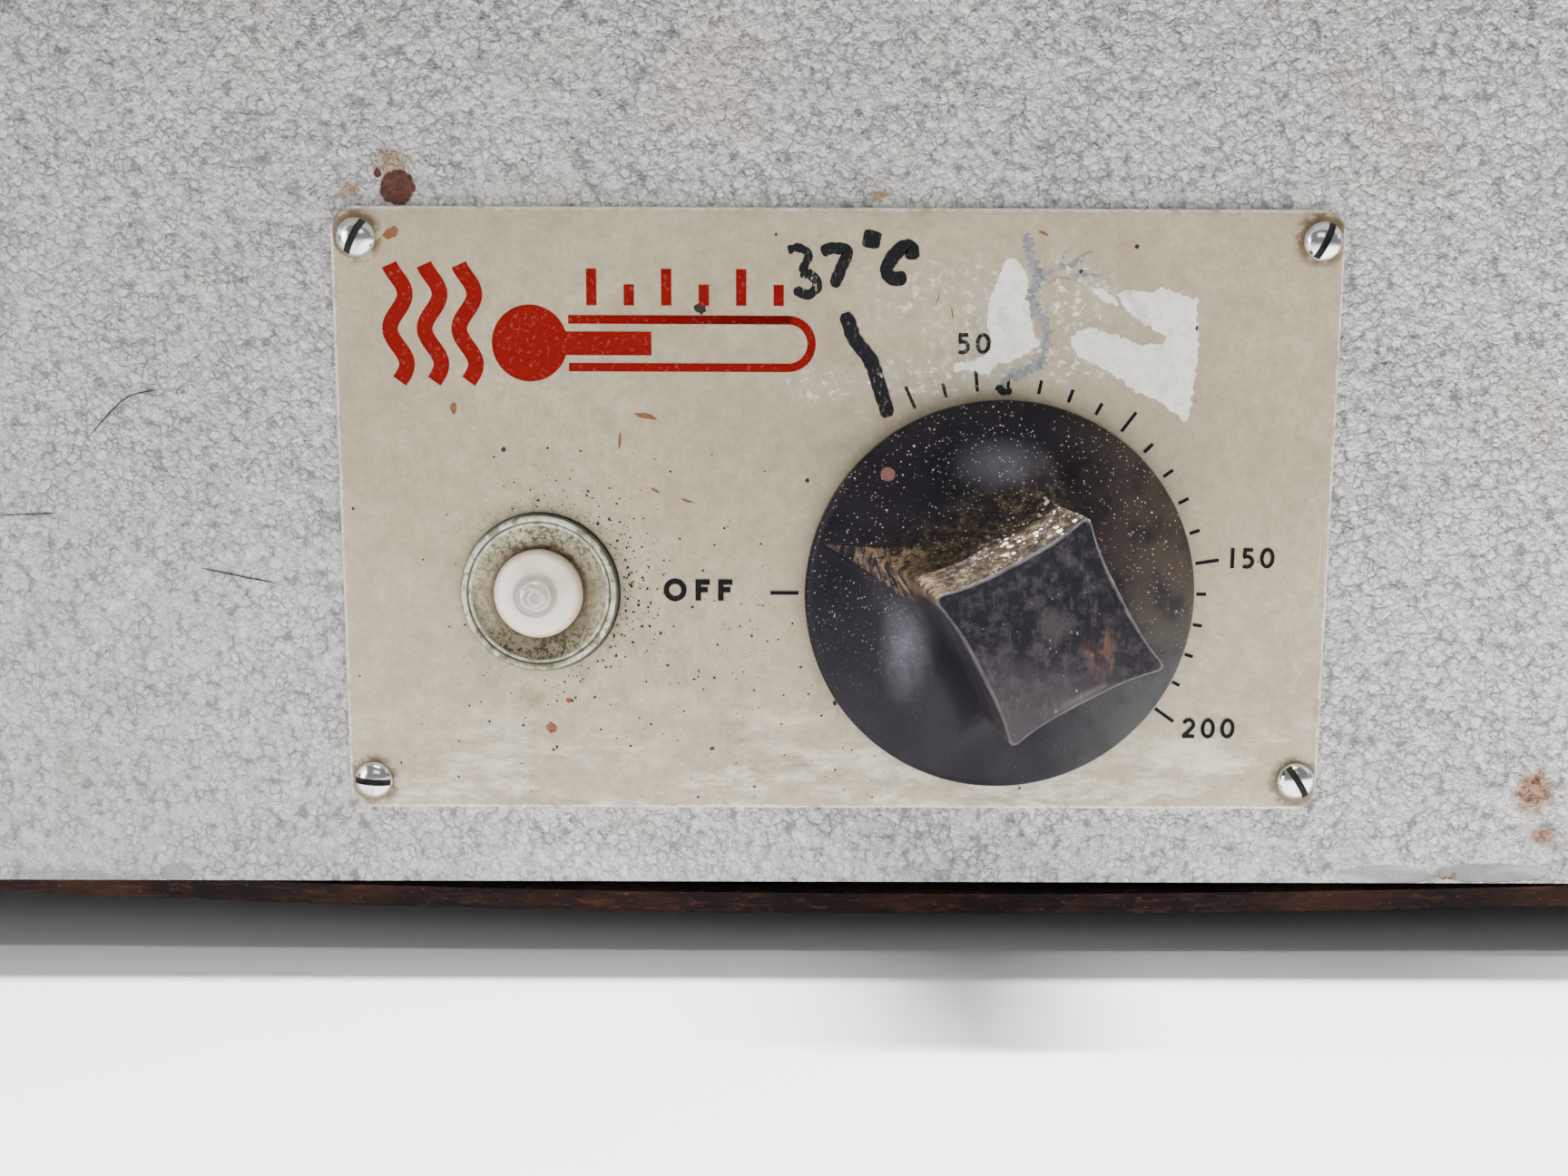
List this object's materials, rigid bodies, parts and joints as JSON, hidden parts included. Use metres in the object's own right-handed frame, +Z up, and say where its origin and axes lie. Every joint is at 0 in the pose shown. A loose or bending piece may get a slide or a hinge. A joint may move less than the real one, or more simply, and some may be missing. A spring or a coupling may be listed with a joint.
{
  "type": "laboratory hot-box oven",
  "caption": "Bench-top insulated hot-box oven: side-hinged door with lever latch, sliding perforated shelves, plinth with dial knob and signal lamp, vent on top.",
  "frame": {"origin": "middle of the bounding box, on the bench under the feet", "axes": "+Z up, front with the door and dial facing -Y, +X to the right seen from the front"},
  "size_m": [0.42, 0.481, 0.5507],
  "materials": {
    "hammertone_paint": "hammered silver-grey enamel",
    "panel_enamel": "worn cream-grey enamel",
    "plated_steel": "dull plated",
    "chrome": "bright, lightly pitted",
    "stainless": "brushed",
    "bakelite": "worn black moulding",
    "black_plastic": "satin",
    "rubber": "matt",
    "seal": "silicone, matt",
    "hardboard": "brown hardboard, fibrous edge",
    "mineral_wool": "fibrous",
    "lens": "milky with a clear nipple",
    "ceramic": "glazed ceramic",
    "heater_sheath": "heat-darkened sheath",
    "brass": "dull",
    "copper": "dull copper",
    "wire": "silicone-covered wire"
  },
  "bodies": {
    "cabinet": {"case_sides": "hammertone_paint", "case_top": "hammertone_paint", "front_frame": "hammertone_paint", "back_cover": "hammertone_paint", "back_cover_screws": "plated_steel", "deck_plate": "plated_steel", "base_board": "hardboard", "base_screws": "plated_steel", "feet": "rubber", "foot_screws": "plated_steel", "chamber_liner": "stainless", "chamber_top": "stainless", "shelf_rails": "stainless", "floor_plate": "stainless", "heater_element": "heater_sheath", "heater_supports": "plated_steel", "heater_bushes": "ceramic", "insulation_top": "mineral_wool", "insulation_sides": "mineral_wool", "insulation_back": "mineral_wool", "insulation_floor": "mineral_wool", "door_seal": "seal", "hinge_frame_leaves": "chrome", "hinge_pins": "chrome", "hinge_frame_screws": "plated_steel", "latch_keeper": "chrome", "keeper_screws": "plated_steel", "control_panel": "panel_enamel", "panel_screws": "chrome", "lamp_bezel": "chrome", "lamp_lens": "lens", "lamp_barrel": "ceramic", "lamp_nut": "plated_steel", "thermostat_body": "plated_steel", "thermostat_bush": "brass", "thermostat_capillary": "copper", "thermostat_bulb": "copper", "bulb_clips": "plated_steel", "terminal_block": "ceramic", "wiring": "wire", "cable_gland": "black_plastic", "vent_tube": "plated_steel", "vent_screws": "plated_steel", "vent_pivot": "plated_steel"},
    "door": {"door_skin": "hammertone_paint", "door_liner": "stainless", "door_insulation": "mineral_wool", "door_liner_screws": "plated_steel", "hinge_door_leaves": "chrome", "hinge_door_screws": "plated_steel", "handle_base": "chrome", "handle_base_screws": "chrome"},
    "handle": {"handle_lever": "chrome", "handle_grip": "bakelite", "latch_tongue_and_spindle": "chrome"},
    "knob": {"knob": "bakelite", "knob_shaft": "brass"},
    "shelf_lower": {"shelf_lower": "stainless"},
    "shelf_upper": {"shelf_upper": "stainless"},
    "vent_shutter": {"vent_shutter": "plated_steel"}
  },
  "joints": [
    {"name": "door_swing", "type": "hinge", "parent": "cabinet", "child": "door", "pos_m": [-0.1905, -0.1635, 0.3365], "axis": [0, 0, -1], "range_deg": [0, 115]},
    {"name": "handle_turn", "type": "hinge", "parent": "door", "child": "handle", "pos_m": [0.1605, -0.2055, 0.3365], "axis": [0, 1, 0], "range_deg": [0, 90]},
    {"name": "knob_turn", "type": "hinge", "parent": "cabinet", "child": "knob", "pos_m": [0.0237, -0.1595, 0.05785], "axis": [0, 1, 0], "range_deg": [-16.7, 202]},
    {"name": "shelf_lower_slide", "type": "slide", "parent": "cabinet", "child": "shelf_lower", "axis": [0, -1, 0], "range_m": [0, 0.152]},
    {"name": "shelf_upper_slide", "type": "slide", "parent": "cabinet", "child": "shelf_upper", "axis": [0, -1, 0], "range_m": [0, 0.152]},
    {"name": "vent_turn", "type": "hinge", "parent": "cabinet", "child": "vent_shutter", "pos_m": [0.024, 0.003, 0.542], "axis": [0, 0, 1], "range_deg": [0, 100]}
  ],
  "couplings": [
    {"joint": "shelf_lower_slide", "follows": "door_swing", "m_per_rad": 0.0747},
    {"joint": "shelf_upper_slide", "follows": "door_swing", "m_per_rad": 0.0747}
  ]
}
